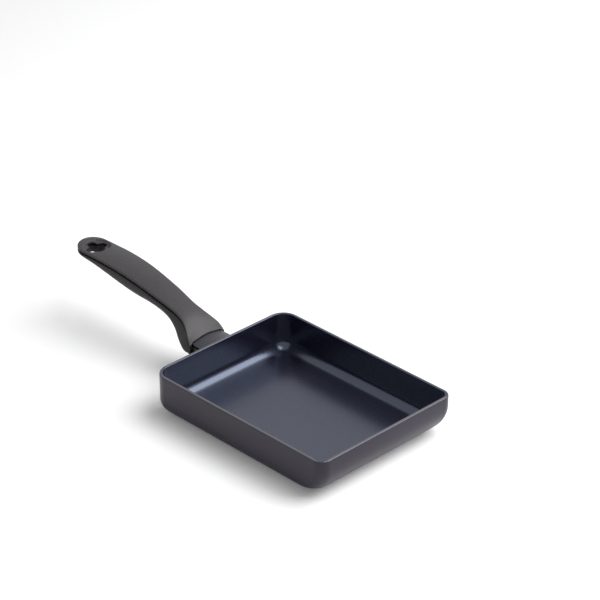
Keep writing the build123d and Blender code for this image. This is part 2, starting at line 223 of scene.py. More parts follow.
def finish_piece(piece, body, nodes=()):
    take_up(piece)
    for modifier in list(piece.modifiers):
        bpy.ops.object.modifier_apply(modifier=modifier.name)
    bpy.ops.object.transform_apply(location=True, rotation=True, scale=True)
    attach(piece, body)
    if nodes:
        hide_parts(*nodes)
    sides = [round(side / mm, 1) for side in piece.dimensions]
    print(piece.name, "measures", sides, "mm with", len(piece.data.polygons), "faces")

print("helpers for modelling are ready")

# %% [markdown]
# ## The tray
# The tray is one skin of forged aluminium, 3 mm thick, with a rounded rim. Its side and rear walls
# meet the bottom in a sweep of 14 mm and its far wall in one of 28 mm, which helps to roll what is
# in the pan. The far corners grow with it. Bevelled edges of a cube can't blend two such sweeps in
# one corner. So the skin is raised ring by ring: one rounded outline is extruded, and then each
# corner of the new ring is scaled about its own middle and slid to its place.

# %% Sizes of the tray
half_length = 98 * mm
half_width = 75 * mm
rim_height = 38 * mm
wall = 3 * mm
foot_height = 0.8 * mm
cooking_height = 4.5 * mm
plate_depth = 1.0 * mm
rear_rounding = 15 * mm
front_rounding = 10 * mm
front_growth = 0.4
outer_sweeps = (14 * mm, 28 * mm)
inner_sweeps = (9 * mm, 25 * mm)

def sweep_inset(radius, rise):
    below = max(radius - rise, 0)
    return radius - math.sqrt(radius ** 2 - below ** 2)

def wall_outline(thickness, sweeps, rise):
    """Ends, half width and corner radii of the tray, at a rise above the bottom of its sweeps."""
    side, front = (thickness + sweep_inset(radius, rise) for radius in sweeps)
    rear_corner = rear_rounding - side
    front_corner = front_rounding - thickness + front_growth * (front - side)
    return (-half_length + side, half_length - front, half_width - side, rear_corner, front_corner)

print("bottom outline:", [round(part / mm, 1) for part in wall_outline(0, outer_sweeps, 0)])

# %% Start with the recess for the plate
plate_ends = (-77.6 * mm, 63.4 * mm)
foot_ends = (-82.6 * mm, 68.4 * mm)
plate_half_width = 54.5 * mm
plate_corner = 8 * mm
foot_half_width = 59.5 * mm
foot_corner = 12 * mm
plate_length = plate_ends[1] - plate_ends[0]
plate_middle = sum(plate_ends) / 2
plate_outline = (*plate_ends, plate_half_width, plate_corner, plate_corner)
foot_outline = (*foot_ends, foot_half_width, foot_corner, foot_corner)

tray = start_piece(
    "tray",
    bpy.ops.mesh.primitive_plane_add,
    size=1,
    location=(plate_middle, 0, plate_depth),
)
tray.scale = (plate_length, 2 * plate_half_width, 1)
bpy.ops.object.transform_apply(location=True, rotation=True, scale=True)
bpy.context.tool_settings.mesh_select_mode = (True, False, False)
bpy.ops.object.mode_set(mode="EDIT")
bpy.ops.mesh.select_all(action="SELECT")
bpy.ops.mesh.bevel(offset=plate_corner, segments=12, affect="VERTICES")
ring = {"height": plate_depth, "outline": plate_outline}
print("points in one ring:", len(held()))

# %% Raise the skin ring by ring
def raise_ring(height, outline):
    """Extrude the selected ring to a height, and bring its corners to a new outline."""
    low_x, high_x, side_y, rear_radius, front_radius = outline
    old_low, old_high, old_side, old_rear, old_front = ring["outline"]
    rise = height - ring["height"]
    bpy.ops.mesh.extrude_region_move(TRANSFORM_OT_translate={"value": (0, 0, rise)})
    points = set(held())
    split = (old_low + old_high) / 2
    for end, old_x, old_radius, new_x, radius in (
        (-1, old_low, old_rear, low_x, rear_radius),
        (1, old_high, old_front, high_x, front_radius),
    ):
        from_x, to_x = old_x - end * old_radius, new_x - end * radius
        growth = radius / old_radius
        for side in (-1, 1):
            hold(lambda p: p.index in points and end * (p.co.x - split) > 0 and side * p.co.y > 0)
            from_y, to_y = side * (old_side - old_radius), side * (side_y - radius)
            middle = (from_x, from_y, height)
            bpy.ops.transform.resize(value=(growth, growth, 1), center_override=middle)
            bpy.ops.transform.translate(value=(to_x - from_x, to_y - from_y, 0))
    hold(lambda p: p.index in points)
    ring["height"] = height
    ring["outline"] = outline

def sweep_rises(sweeps):
    """Rises of the rings: close together up the smaller sweep, wider up the rest of the larger."""
    small, large = sweeps
    rises = [small * (1 - math.cos(math.radians(6 * step))) for step in range(16)]
    return rises + [small + (large - small) * share for share in (0.2, 0.45, 0.7, 1)]

raise_ring(0, plate_outline)
raise_ring(0, foot_outline)
raise_ring(foot_height, foot_outline)
for rise in sweep_rises(outer_sweeps):
    raise_ring(foot_height + rise, wall_outline(0, outer_sweeps, rise))
print("the outside is", round(ring["height"] / mm, 1), "mm high")

# %% Round the rim and go down inside
outer_round = 1.2 * mm
inner_round = 0.7 * mm
top_rise = max(outer_sweeps)
for turn in range(0, 91, 15):
    drop = outer_round * (1 - math.sin(math.radians(turn)))
    inset = outer_round * (1 - math.cos(math.radians(turn)))
    raise_ring(rim_height - drop, wall_outline(inset, outer_sweeps, top_rise))
for turn in range(0, 91, 18):
    drop = inner_round * (1 - math.cos(math.radians(turn)))
    inset = wall - inner_round * (1 - math.sin(math.radians(turn)))
    raise_ring(rim_height - drop, wall_outline(inset, outer_sweeps, top_rise))
for rise in reversed(sweep_rises(inner_sweeps)):
    raise_ring(cooking_height + rise, wall_outline(wall, inner_sweeps, rise))
bpy.ops.mesh.select_all(action="SELECT")
bpy.ops.mesh.remove_doubles(threshold=0.001 * mm)
bpy.ops.mesh.normals_make_consistent(inside=False)
bpy.ops.object.mode_set(mode="OBJECT")
bpy.ops.object.shade_smooth_by_angle(angle=math.radians(35))
print("faces in the skin:", len(tray.data.polygons))

# %% [markdown]
# ## Finishes
# Nothing on the pan is one flat colour. The moulded grip has a fine blasted grain, the lacquer a
# faint orange peel and cloudy gloss, the coating mineral flecks and hair-fine marks of turning
# tools, and the steel its brushed lines. Each effect is a node group that gives a mask or a height,
# made once and placed in every finish that needs it. All of them read Object coordinates, so they
# stay put in every view.

# %% Helpers for node trees
def feed(tree, socket, value):
    """Link a socket to an output of another node, or set it to a plain value."""
    if isinstance(value, bpy.types.NodeSocket):
        tree.links.new(value, socket)
    else:
        socket.default_value = value

def add_node(tree, kind, label="", settings=None, **inputs):
    """A new node with its settings and its inputs, whose names have _ for a space."""
    node = tree.nodes.new(kind)
    node.label = label
    for name, value in (settings or {}).items():
        setattr(node, name, value)
    for name, value in inputs.items():
        feed(tree, node.inputs[name.replace("_", " ")], value)
    return node

def calculate(tree, operation, first, second):
    node = add_node(tree, "ShaderNodeMath", settings={"operation": operation})
    feed(tree, node.inputs[0], first)
    feed(tree, node.inputs[1], second)
    return node.outputs[0]

def step_between(tree, value, start, end):
    """A soft step from 0 at start to 1 at end."""
    smooth = {"interpolation_type": "SMOOTHSTEP"}
    node = add_node(
        tree, "ShaderNodeMapRange", "", smooth, Value=value, From_Min=start, From_Max=end
    )
    return node.outputs["Result"]

def spread(tree, value, low, high, label):
    """Carry a mask from the range 0 to 1 over to the range low to high."""
    node = add_node(tree, "ShaderNodeMapRange", label, Value=value, To_Min=low, To_Max=high)
    return node.outputs["Result"]

def blend_colours(tree, share, first, second, label):
    node = add_node(tree, "ShaderNodeMix", label, {"data_type": "RGBA"})
    for number, value in ((0, share), (6, first), (7, second)):
        feed(tree, node.inputs[number], (*value, 1) if isinstance(value, tuple) else value)
    return node.outputs[2]

print("helpers for node trees are ready")

# %% Helpers for groups and finishes
def new_group(name, inputs, outputs):
    tree = bpy.data.node_groups.new(name, "ShaderNodeTree")
    for socket_name, kind, default in inputs:
        socket = tree.interface.new_socket(socket_name, in_out="INPUT", socket_type=kind)
        if default is not None:
            socket.default_value = default
    for socket_name in outputs:
        tree.interface.new_socket(socket_name, in_out="OUTPUT", socket_type="NodeSocketFloat")
    return tree, tree.nodes.new("NodeGroupInput"), tree.nodes.new("NodeGroupOutput")

def place_group(tree, group, **inputs):
    return add_node(tree, "ShaderNodeGroup", settings={"node_tree": group}, **inputs)

def new_finish(name):
    finish = bpy.data.materials.new(name)
    finish.use_nodes = True
    tree = finish.node_tree
    shader = tree.nodes["Principled BSDF"]
    place = tree.nodes.new("ShaderNodeTexCoord").outputs["Object"]
    return finish, tree, shader, place

def raise_surface(tree, shader, height, distance, strength):
    bump = add_node(tree, "ShaderNodeBump", Height=height, Distance=distance, Strength=strength)
    tree.links.new(bump.outputs["Normal"], shader.inputs["Normal"])

print("helpers for groups and finishes are ready")

# %% [markdown]
# ### Groups for surface effects
# A noise texture's Scale counts features per metre here, so a grain of 0.7 mm has a scale of about
# 1500. Lines come from noise whose coordinates are squeezed along one axis by a Mapping node.

# %% Grain and clouds
grain, grain_in, grain_out = new_group(
    "blasted_grain",
    [("Vector", "NodeSocketVector", None), ("Grain per metre", "NodeSocketFloat", 2600.0)],
    ["Height", "Pits"],
)
grain_noise = add_node(
    grain,
    "ShaderNodeTexNoise",
    "grains",
    Vector=grain_in.outputs["Vector"],
    Scale=grain_in.outputs["Grain per metre"],
    Detail=3,
).outputs["Fac"]
grain.links.new(grain_noise, grain_out.inputs["Height"])
grain.links.new(step_between(grain, grain_noise, 0.52, 0.36), grain_out.inputs["Pits"])

clouds, clouds_in, clouds_out = new_group(
    "cloudy_tone",
    [("Vector", "NodeSocketVector", None), ("Clouds per metre", "NodeSocketFloat", 30.0)],
    ["Tone"],
)
cloud_noise = add_node(
    clouds,
    "ShaderNodeTexNoise",
    "clouds",
    Vector=clouds_in.outputs["Vector"],
    Scale=clouds_in.outputs["Clouds per metre"],
    Detail=4,
).outputs["Fac"]
clouds.links.new(step_between(clouds, cloud_noise, 0.3, 0.7), clouds_out.inputs["Tone"])
print("groups:", grain.name, clouds.name)

# %% Flecks and hair-fine lines
flecks, flecks_in, flecks_out = new_group(
    "mineral_flecks",
    [("Vector", "NodeSocketVector", None), ("Flecks per metre", "NodeSocketFloat", 900.0)],
    ["Flecks"],
)
fleck_cells = add_node(
    flecks,
    "ShaderNodeTexVoronoi",
    "flecks",
    Vector=flecks_in.outputs["Vector"],
    Scale=flecks_in.outputs["Flecks per metre"],
)
fleck_split = add_node(
    flecks, "ShaderNodeSeparateColor", "one number per cell", Color=fleck_cells.outputs["Color"]
)
fleck_near = step_between(flecks, fleck_cells.outputs["Distance"], 0.34, 0.18)
fleck_few = step_between(flecks, fleck_split.outputs["Red"], 0.86, 0.9)
flecks.links.new(calculate(flecks, "MULTIPLY", fleck_near, fleck_few), flecks_out.inputs["Flecks"])

lines, lines_in, lines_out = new_group(
    "hair_lines",
    [
        ("Vector", "NodeSocketVector", None),
        ("Lines per metre", "NodeSocketFloat", 1500.0),
        ("Turn", "NodeSocketFloat", 0.0),
        ("Sparseness", "NodeSocketFloat", 0.6),
    ],
    ["Lines", "Height"],
)
line_angle = add_node(
    lines, "ShaderNodeCombineXYZ", "turned about Z", Z=lines_in.outputs["Turn"]
)
line_turn = add_node(
    lines,
    "ShaderNodeVectorRotate",
    "turned lines",
    {"rotation_type": "EULER_XYZ"},
    Vector=lines_in.outputs["Vector"],
    Rotation=line_angle.outputs[0],
)
line_squeeze = add_node(
    lines,
    "ShaderNodeMapping",
    "long along X",
    Vector=line_turn.outputs[0],
    Scale=(0.02, 1.0, 0.3),
)
line_noise = add_node(
    lines,
    "ShaderNodeTexNoise",
    "lines",
    Vector=line_squeeze.outputs[0],
    Scale=lines_in.outputs["Lines per metre"],
    Detail=2,
).outputs["Fac"]
line_mask = add_node(
    lines,
    "ShaderNodeMapRange",
    "few lines",
    Value=line_noise,
    From_Min=lines_in.outputs["Sparseness"],
    From_Max=calculate(lines, "ADD", lines_in.outputs["Sparseness"], 0.08),
)
lines.links.new(line_mask.outputs["Result"], lines_out.inputs["Lines"])
lines.links.new(line_noise, lines_out.inputs["Height"])
print("groups:", flecks.name, lines.name)

# %% [markdown]
# ### Lacquer outside
# The outside has a satin lacquer, dark grey with a little violet. Real lacquer isn't quite level:
# it has a faint unevenness like orange peel, and its gloss drifts from place to place. A lighter
# line is painted round the top of the rim: a painted highlight where the rounded edge catches the
# light.

# %% The lacquer of the tray
lacquer, lacquer_tree, lacquer_shader, lacquer_place = new_finish("satin_lacquer")
lacquer_clouds = place_group(lacquer_tree, clouds, Vector=lacquer_place, Clouds_per_metre=22.0)
lacquer_peel = place_group(lacquer_tree, grain, Vector=lacquer_place, Grain_per_metre=900.0)
lacquer_height = add_node(lacquer_tree, "ShaderNodeSeparateXYZ", Vector=lacquer_place).outputs["Z"]
# painted highlight: the top of the rim gets a lighter colour, as if it caught the light
rim_painted_highlight = step_between(
    lacquer_tree, lacquer_height, rim_height - 0.6 * mm, rim_height - 0.1 * mm
)
lacquer_tone = lacquer_clouds.outputs["Tone"]
lacquer_body = blend_colours(
    lacquer_tree, lacquer_tone, (0.0125, 0.0080, 0.0215), (0.0165, 0.0110, 0.0280), "lacquer"
)
# the pale colour of the painted highlight on the rim
lacquer_colour = blend_colours(
    lacquer_tree, rim_painted_highlight, lacquer_body, (0.08, 0.08, 0.095), "rim"
)
lacquer_rough = spread(lacquer_tree, lacquer_tone, 0.27, 0.34, "gloss drifts")
lacquer_tree.links.new(lacquer_colour, lacquer_shader.inputs["Base Color"])
lacquer_tree.links.new(lacquer_rough, lacquer_shader.inputs["Roughness"])
lacquer_shader.inputs["Specular IOR Level"].default_value = 0.42
raise_surface(lacquer_tree, lacquer_shader, lacquer_peel.outputs["Height"], 0.00002, 0.35)
print("finish:", lacquer.name)

# %% [markdown]
# ### Coating inside
# The cooking surface has a smooth mineral coating, a slate grey that is bluer than the lacquer.
# Fine pale flecks lie in it, and turning tools have left hair-fine marks in two directions, which
# catch the light only as a change of gloss.

# %% The coating
coating, coating_tree, coating_shader, coating_place = new_finish("mineral_coating")
coating_flecks = place_group(coating_tree, flecks, Vector=coating_place, Flecks_per_metre=1100.0)
coating_clouds = place_group(coating_tree, clouds, Vector=coating_place, Clouds_per_metre=18.0)
coating_marks = place_group(
    coating_tree, lines, Vector=coating_place, Lines_per_metre=1500.0, Turn=0.5, Sparseness=0.66
)
coating_cross = place_group(
    coating_tree, lines, Vector=coating_place, Lines_per_metre=1100.0, Turn=-0.9, Sparseness=0.68
)
coating_worn = calculate(
    coating_tree, "MAXIMUM", coating_marks.outputs["Lines"], coating_cross.outputs["Lines"]
)
coating_tone = coating_clouds.outputs["Tone"]
coating_body = blend_colours(
    coating_tree, coating_tone, (0.0058, 0.0052, 0.0125), (0.0084, 0.0076, 0.0170), "coating"
)
coating_colour = blend_colours(
    coating_tree, coating_flecks.outputs["Flecks"], coating_body, (0.04, 0.044, 0.058), "flecks"
)
coating_rough = spread(coating_tree, coating_worn, 0.23, 0.28, "marks are duller")
coating_tree.links.new(coating_colour, coating_shader.inputs["Base Color"])
coating_tree.links.new(coating_rough, coating_shader.inputs["Roughness"])
coating_shader.inputs["Specular Tint"].default_value = (0.64, 0.75, 1.0, 1)
coating_shader.inputs["Specular IOR Level"].default_value = 1.0
raise_surface(coating_tree, coating_shader, coating_flecks.outputs["Flecks"], 0.00001, 0.3)
print("finish:", coating.name)

# %% [markdown]
# ### Moulded grip
# Both parts of the grip are moulded in a dark warm grey plastic. The mould is blasted, so the
# surface has a fine even grain that scatters the light and leaves no sharp reflection. The pits
# hold a little shade. The lower moulding gets a darker copy of the plastic: painted shade for its
# sides and the groove, which face away from the lamp.

# %% The grip's plastic
def moulded_plastic(name, low_colour, high_colour, pit_colour, roughness, shine):
    finish, tree, shader, place = new_finish(name)
    fine = place_group(tree, grain, Vector=place, Grain_per_metre=1500.0)
    tone = place_group(tree, clouds, Vector=place, Clouds_per_metre=26.0)
    body = blend_colours(tree, tone.outputs["Tone"], low_colour, high_colour, "plastic")
    pits = calculate(tree, "MULTIPLY", fine.outputs["Pits"], 0.85)
    colour = blend_colours(tree, pits, body, pit_colour, "shade in the pits")
    tree.links.new(colour, shader.inputs["Base Color"])
    rough = spread(tree, tone.outputs["Tone"], roughness, roughness + 0.08, "handled places")
    tree.links.new(rough, shader.inputs["Roughness"])
    shader.inputs["Specular IOR Level"].default_value = shine
    raise_surface(tree, shader, fine.outputs["Height"], 0.00022, 0.7)
    return finish

shell_plastic = moulded_plastic(
    "grip_shell_plastic",
    low_colour=(0.029, 0.0255, 0.0285),
    high_colour=(0.038, 0.0340, 0.0375),
    pit_colour=(0.008, 0.007, 0.009),
    roughness=0.42,
    shine=0.4,
)
# painted shade: the same plastic as the shell, made darker for the lower moulding's shaded sides
body_plastic_painted_shade = moulded_plastic(
    "grip_body_plastic",
    low_colour=(0.013, 0.011, 0.0125),
    high_colour=(0.018, 0.0155, 0.0175),
    pit_colour=(0.009, 0.008, 0.009),
    roughness=0.5,
    shine=0.34,
)
print("finishes:", shell_plastic.name, body_plastic_painted_shade.name)

# %% [markdown]
# ### Metals and the neck
# The neck and its cover have the tray's lacquer in a bluer, softer shade. The plate in the foot is
# brushed steel, the studs in its holes are bare aluminium, and the screw and its washers are zinc
# plated, which shows as faint patches of colour.

# %% Lacquer of the neck
def neck_lacquer(name, low_colour, high_colour, roughness):
    finish, tree, shader, place = new_finish(name)
    tone = place_group(tree, clouds, Vector=place, Clouds_per_metre=60.0)
    peel = place_group(tree, grain, Vector=place, Grain_per_metre=1100.0)
    body = blend_colours(tree, tone.outputs["Tone"], low_colour, high_colour, "lacquer")
    tree.links.new(body, shader.inputs["Base Color"])
    rough = spread(tree, tone.outputs["Tone"], roughness, roughness + 0.07, "gloss drifts")
    tree.links.new(rough, shader.inputs["Roughness"])
    raise_surface(tree, shader, peel.outputs["Height"], 0.00003, 0.4)
    return finish

cover_lacquer = neck_lacquer(
    "neck_cover_lacquer", (0.013, 0.013, 0.020), (0.018, 0.018, 0.026), 0.34
)
bracket_lacquer = neck_lacquer(
    "dark_neck_lacquer", (0.018, 0.017, 0.020), (0.024, 0.023, 0.027), 0.42
)
print("finishes:", cover_lacquer.name, bracket_lacquer.name)

# %% Metals
def brushed_metal(name, low_colour, high_colour, roughness, lines_per_metre, patches_per_metre):
    finish, tree, shader, place = new_finish(name)
    shader.inputs["Metallic"].default_value = 1.0
    brush = place_group(
        tree, lines, Vector=place, Lines_per_metre=lines_per_metre, Turn=0.0, Sparseness=0.45
    )
    tone = place_group(tree, clouds, Vector=place, Clouds_per_metre=patches_per_metre)
    body = blend_colours(tree, tone.outputs["Tone"], low_colour, high_colour, "metal")
    tree.links.new(body, shader.inputs["Base Color"])
    low_rough, high_rough = roughness - 0.08, roughness + 0.12
    rough = spread(tree, brush.outputs["Height"], low_rough, high_rough, "brushed lines")
    tree.links.new(rough, shader.inputs["Roughness"])
    raise_surface(tree, shader, brush.outputs["Height"], 0.00002, 0.5)
    return finish

plate_steel = brushed_metal(
    "brushed_plate_steel", (0.50, 0.49, 0.48), (0.60, 0.60, 0.60), 0.34, 2600.0, 25.0
)
stud_aluminium = brushed_metal(
    "bare_aluminium", (0.58, 0.58, 0.60), (0.68, 0.68, 0.69), 0.4, 3200.0, 120.0
)
screw_zinc = brushed_metal(
    "zinc_plate", (0.52, 0.53, 0.60), (0.62, 0.60, 0.54), 0.3, 4200.0, 400.0
)
print("finishes:", plate_steel.name, stud_aluminium.name, screw_zinc.name)

# %% [markdown]
# ### Two finishes on the tray
# The coating begins at the inner edge of the rim and covers all that faces into the tray. A face
# looks into the tray where its normal points towards a spot high above the middle of the floor. The
# foot and the recess below are left in lacquer.

# %% Give the tray its lacquer and its coating
tray.data.materials.append(lacquer)
tray.data.materials.append(coating)
bpy.ops.object.mode_set(mode="EDIT")
bpy.context.tool_settings.mesh_select_mode = (False, False, True)
skin = bmesh.from_edit_mesh(tray.data)
look_from = Vector((0, 0, 0.2))
bare_rim = 1.9 * mm
above_foot = 4 * mm
coated = 0
for face in skin.faces:
    middle = face.calc_center_median()
    inside = abs(middle.x) < half_length - bare_rim and abs(middle.y) < half_width - bare_rim
    face.select = inside and middle.z > above_foot and face.normal.dot(look_from - middle) > 0
    coated += face.select
bmesh.update_edit_mesh(tray.data)
tray.active_material_index = 1
bpy.ops.object.material_slot_assign()
bpy.ops.object.mode_set(mode="OBJECT")
print("coated faces:", coated, "of", len(tray.data.polygons))
finish_piece(tray, "root", ["pan_body"])

# %% [markdown]
# ## Studs in the plate
# Aluminium is pressed through the holes of the steel plate, which holds the plate in the foot. One
# stud is modelled and two arrays repeat it, seven along and five across. Its lower edge is rounded
# a little.

# %% Model one stud and repeat it
studs_along, studs_across = 7, 5
along_pitch = plate_length / studs_along
across_pitch = 2 * plate_half_width / studs_across
stud_radius = 3.4 * mm
studs = start_piece(
    "plate_studs",
    bpy.ops.mesh.primitive_cylinder_add,
    vertices=32,
    radius=stud_radius,
    depth=plate_depth,
    location=(plate_middle - 3 * along_pitch, -2 * across_pitch, plate_depth / 2),
)
bpy.ops.object.mode_set(mode="EDIT")
hold(lambda p: p.co.z < 0)
bpy.ops.mesh.bevel(offset=0.2 * mm, segments=3)
bpy.ops.object.mode_set(mode="OBJECT")
bpy.ops.object.shade_smooth_by_angle(angle=math.radians(40))
for count, offset in ((studs_along, (along_pitch, 0, 0)), (studs_across, (0, across_pitch, 0))):
    repeat = studs.modifiers.new("repeat", "ARRAY")
    repeat.count = count
    repeat.use_relative_offset = False
    repeat.use_constant_offset = True
    repeat.constant_offset_displace = offset
studs.data.materials.append(stud_aluminium)
finish_piece(studs, "root")

# %% [markdown]
# ## The grip
# The grip is moulded in two parts with a groove between them, like a shadow line. Its section
# changes all the way: a wide hood over the neck, a slim throat for the thumb, a full belly for the
# palm and a round tail. Scaling one outline would keep its character, so the corners of the first
# face carry level numbers, which extruding hands on. At every section each level is scaled to its
# own half width and height.

# %% Sizes along the grip
hood_x = -113 * mm
grip_length = 157.5 * mm
tail_radius = 14.3 * mm
tail_x = hood_x - grip_length
tail_middle = tail_x + tail_radius
groove_inset = 1.5 * mm
groove_bottom = 3.7 * mm
shell_thickness = 1.4 * mm

# Each row has the distance from the hood's open end, the height of the edge, the half width, the
# arch and the depth of the belly, all in mm, and then the belly's fullness and its flare.
grip_rows = [
    (0.0, 33.0, 19.8, 5.0, 11.0, 0.92, 1.04),
    (4.3, 39.2, 18.1, 2.2, 17.4, 0.92, 1.20),
    (9.0, 43.4, 15.5, 1.8, 21.4, 0.92, 1.45),
    (15.1, 47.4, 12.9, 1.6, 23.8, 0.90, 1.58),
    (21.1, 49.9, 11.7, 1.5, 23.3, 0.88, 1.47),
    (27.1, 51.8, 11.2, 1.4, 20.6, 0.80, 1.25),
    (36.1, 54.4, 11.7, 1.4, 17.0, 0.66, 1.06),
    (47.1, 57.3, 12.5, 1.5, 16.4, 0.58, 1.00),
    (62.2, 60.7, 13.2, 1.6, 18.0, 0.55, 1.00),
    (77.2, 63.6, 13.9, 1.6, 20.4, 0.55, 1.00),
    (93.2, 65.8, 14.3, 1.6, 20.8, 0.55, 1.00),
    (112.9, 67.0, 14.5, 1.6, 17.8, 0.55, 1.00),
    (130.4, 67.0, 14.3, 1.5, 13.6, 0.55, 1.00),
    (143.2, 66.8, 14.3, 1.3, 10.4, 0.57, 1.00),
    (159.5, 66.8, 14.3, 1.0, 5.0, 0.60, 1.00),
]

def grip_sizes(x):
    """The row of sizes at x, on a smooth curve through the rows."""
    along = min(max((hood_x - x) / mm, 0), grip_rows[-1][0])
    after = next(number for number, row in enumerate(grip_rows) if number and row[0] >= along)
    low, high = grip_rows[after - 1], grip_rows[after]
    before, beyond = grip_rows[max(after - 2, 0)], grip_rows[min(after + 1, len(grip_rows) - 1)]
    span = high[0] - low[0]
    share = (along - low[0]) / span
    sizes = []
    for part in range(1, 7):
        start_slope = (high[part] - before[part]) / (high[0] - before[0]) * span
        end_slope = (beyond[part] - low[part]) / (beyond[0] - low[0]) * span
        value = (2 * share ** 3 - 3 * share ** 2 + 1) * low[part]
        value += (share ** 3 - 2 * share ** 2 + share) * start_slope
        value += (3 * share ** 2 - 2 * share ** 3) * high[part]
        value += (share ** 3 - share ** 2) * end_slope
        sizes.append(value)
    edge, half, arch, depth, fullness, flare = sizes
    return edge * mm, half * mm, arch * mm, depth * mm, fullness, flare

def half_at(x, gap):
    """Half width of the outline at x, drawn in by gap all round."""
    half = grip_sizes(x)[1] - gap
    if x < tail_middle:
        radius = tail_radius - gap
        half = min(half, math.sqrt(max(radius ** 2 - (x - tail_middle) ** 2, 0)))
    return max(half, 0)

print("grip goes from", round(hood_x / mm, 1), "to", round(tail_x / mm, 1), "mm")

# %% Draw a part out in sections
start_radius = 10 * mm
start_step = 0.01 * mm
too_narrow = 0.0001 * mm

def start_sections(name, levels):
    """An upright face whose corners have level numbers, 0 on top and the same on both sides."""
    quarter = math.radians(90)
    piece = start_piece(
        name,
        bpy.ops.mesh.primitive_circle_add,
        vertices=2 * (levels - 1),
        radius=start_radius,
        fill_type="NGON",
        rotation=(quarter, 0, quarter),
    )
    bpy.ops.object.transform_apply(location=True, rotation=True, scale=True)
    bpy.ops.object.mode_set(mode="EDIT")
    bpy.ops.mesh.select_all(action="SELECT")
    mesh = bmesh.from_edit_mesh(piece.data)
    level = mesh.verts.layers.int.new("level")
    for number, point in enumerate(mesh.verts):
        point[level] = min(number, 2 * (levels - 1) - number)
    return piece

def place_section(x, places):
    """Put every level of the selected face at x, at its own half width and height."""
    mesh = bmesh.from_edit_mesh(bpy.context.edit_object.data)
    level = mesh.verts.layers.int["level"]
    corners = [point for point in mesh.verts if point.select]
    for number, (y, z) in enumerate(places):
        wide = 0
        for point in corners:
            chosen = point[level] == number
            point.select_set(chosen)
            wide = max(wide, abs(point.co.y)) if chosen else wide
        mesh.select_flush_mode()
        growth = y / wide if wide > too_narrow else 1
        bpy.ops.transform.resize(value=(0, growth, 0), center_override=(x, 0, z))
    for point in corners:
        point.select_set(True)
    mesh.select_flush_mode()

def draw_sections(name, sections):
    piece = start_sections(name, len(sections[0][1]))
    for number, (x, places) in enumerate(sections):
        if number:
            bpy.ops.mesh.extrude_region_move(TRANSFORM_OT_translate={"value": (-start_step, 0, 0)})
        place_section(x, places)
    bpy.ops.mesh.select_all(action="SELECT")
    bpy.ops.mesh.normals_make_consistent(inside=False)
    bpy.ops.object.mode_set(mode="OBJECT")
    piece.data.attributes.remove(piece.data.attributes["level"])
    print(name, "has", len(sections), "sections and", len(piece.data.polygons), "faces")
    return piece

def section_places(gap):
    """Places of the sections: closer at the dish, and closest round the tail drawn in by gap."""
    places = [hood_x - 2.4 * mm * step for step in range(53)]
    places += [tail_middle + (18 - 0.8 * step) * mm for step in range(23)]
    turns = [math.radians(3.5 * step) for step in range(1, 26)]
    places += [tail_middle - (tail_radius - gap) * math.sin(turn) for turn in turns]
    return sorted(places, reverse=True)

print("sections along the grip:", len(section_places(0)))

# %% [markdown]
# ### Top shell of the grip
# The shell is arched, 1.4 mm thick, with its upper edge rounded by 0.6 mm all round. Near the tail
# it sinks into a dish for the hook. Scaling the middle of the dish flat, with the smooth falloff of
# proportional editing along the surface, draws the dish's wall in the same step, first on the
# underside and then on top. A small turn then makes the dish deeper towards the pan.

# %% Sections of the shell
edge_round = 0.6 * mm
rounding = [math.radians(22.5 * step) for step in range(5)]
top_steps = 18
underside_steps = 10
least_half = 0.1 * mm
least_spacing = 0.008 * mm

def shell_top(x, y):
    edge, half, arch = grip_sizes(x)[:3]
    gap = half_at(x, 0) - y
    if x < tail_middle:
        gap = tail_radius - math.hypot(x - tail_middle, y)
    short = min(max(edge_round - gap, 0), edge_round)
    drop = edge_round - math.sqrt(edge_round ** 2 - short ** 2)
    return edge + arch * (1 - (y / half) ** 2) - drop

def shell_section(x):
    middle = max(half_at(x, edge_round), least_half)
    widths = [middle * step / top_steps for step in range(top_steps + 1)]
    for step, turn in enumerate(rounding[1:]):
        inset = edge_round * (1 - math.sin(turn))
        widths.append(max(half_at(x, inset), (0.14 + 0.04 * step) * mm))
    places = [(y, shell_top(x, y)) for y in widths]
    low = grip_sizes(x)[0] - shell_thickness
    for step in range(underside_steps, -1, -1):
        places.append((widths[-1] * step / underside_steps, low))
    return x, places

shell_places = section_places(0) + [tail_x + 0.01 * mm]
shell_places += [tail_x + edge_round * (1 - math.sin(turn)) for turn in rounding[:4]]
shell_places.sort(reverse=True)
spaced = [shell_places[0]]
for place in shell_places[1:]:
    if spaced[-1] - place > least_spacing:
        spaced.append(place)
top_shell = draw_sections("grip_top_shell", [shell_section(x) for x in spaced])

# %% Sink the dish
hole_x = tail_x + 18 * mm
dish_middle = 11.0 * mm
dish_wall = 1.9 * mm
dish_level = 65.6 * mm
dish_tilt = math.radians(-4)
dish_thickness = 1.3 * mm
underside_wall = 1.0 * mm
between_skins = 66.0 * mm

def sink(reach, upper, level, falloff):
    hold(
        lambda p: math.hypot(p.co.x - hole_x, p.co.y) < reach
        and (p.co.z > between_skins) == upper
    )
    bpy.ops.transform.resize(
        value=(1, 1, 0),
        center_override=(hole_x, 0, level),
        use_proportional_edit=True,
        use_proportional_connected=True,
        proportional_edit_falloff="SMOOTH",
        proportional_size=falloff,
    )
    bpy.ops.transform.rotate(
        value=dish_tilt, orient_axis="Y", center_override=(hole_x, 0, level)
    )
    print("sunk to", round(level / mm, 1), "mm with", len(held()), "points")

bpy.ops.object.mode_set(mode="EDIT")
sink(dish_middle, False, dish_level - dish_thickness, underside_wall)
sink(dish_middle, True, dish_level, dish_wall)
bpy.ops.object.mode_set(mode="OBJECT")

# %% [markdown]
# ### Lower moulding of the grip
# Below the shell the moulding is narrower by 1.5 mm all round, which makes the groove. Then comes
# the belly, on each side one Bezier curve from the groove's lower edge to the middle of the
# underside. Towards the tail the belly thins out and rounds off.

# %% Sections of the lower moulding
belly_round = 0.4 * mm
belly_taper = 0.55
belly_steps = 14
shell_gap = 0.1 * mm
core_end = tail_x + groove_inset

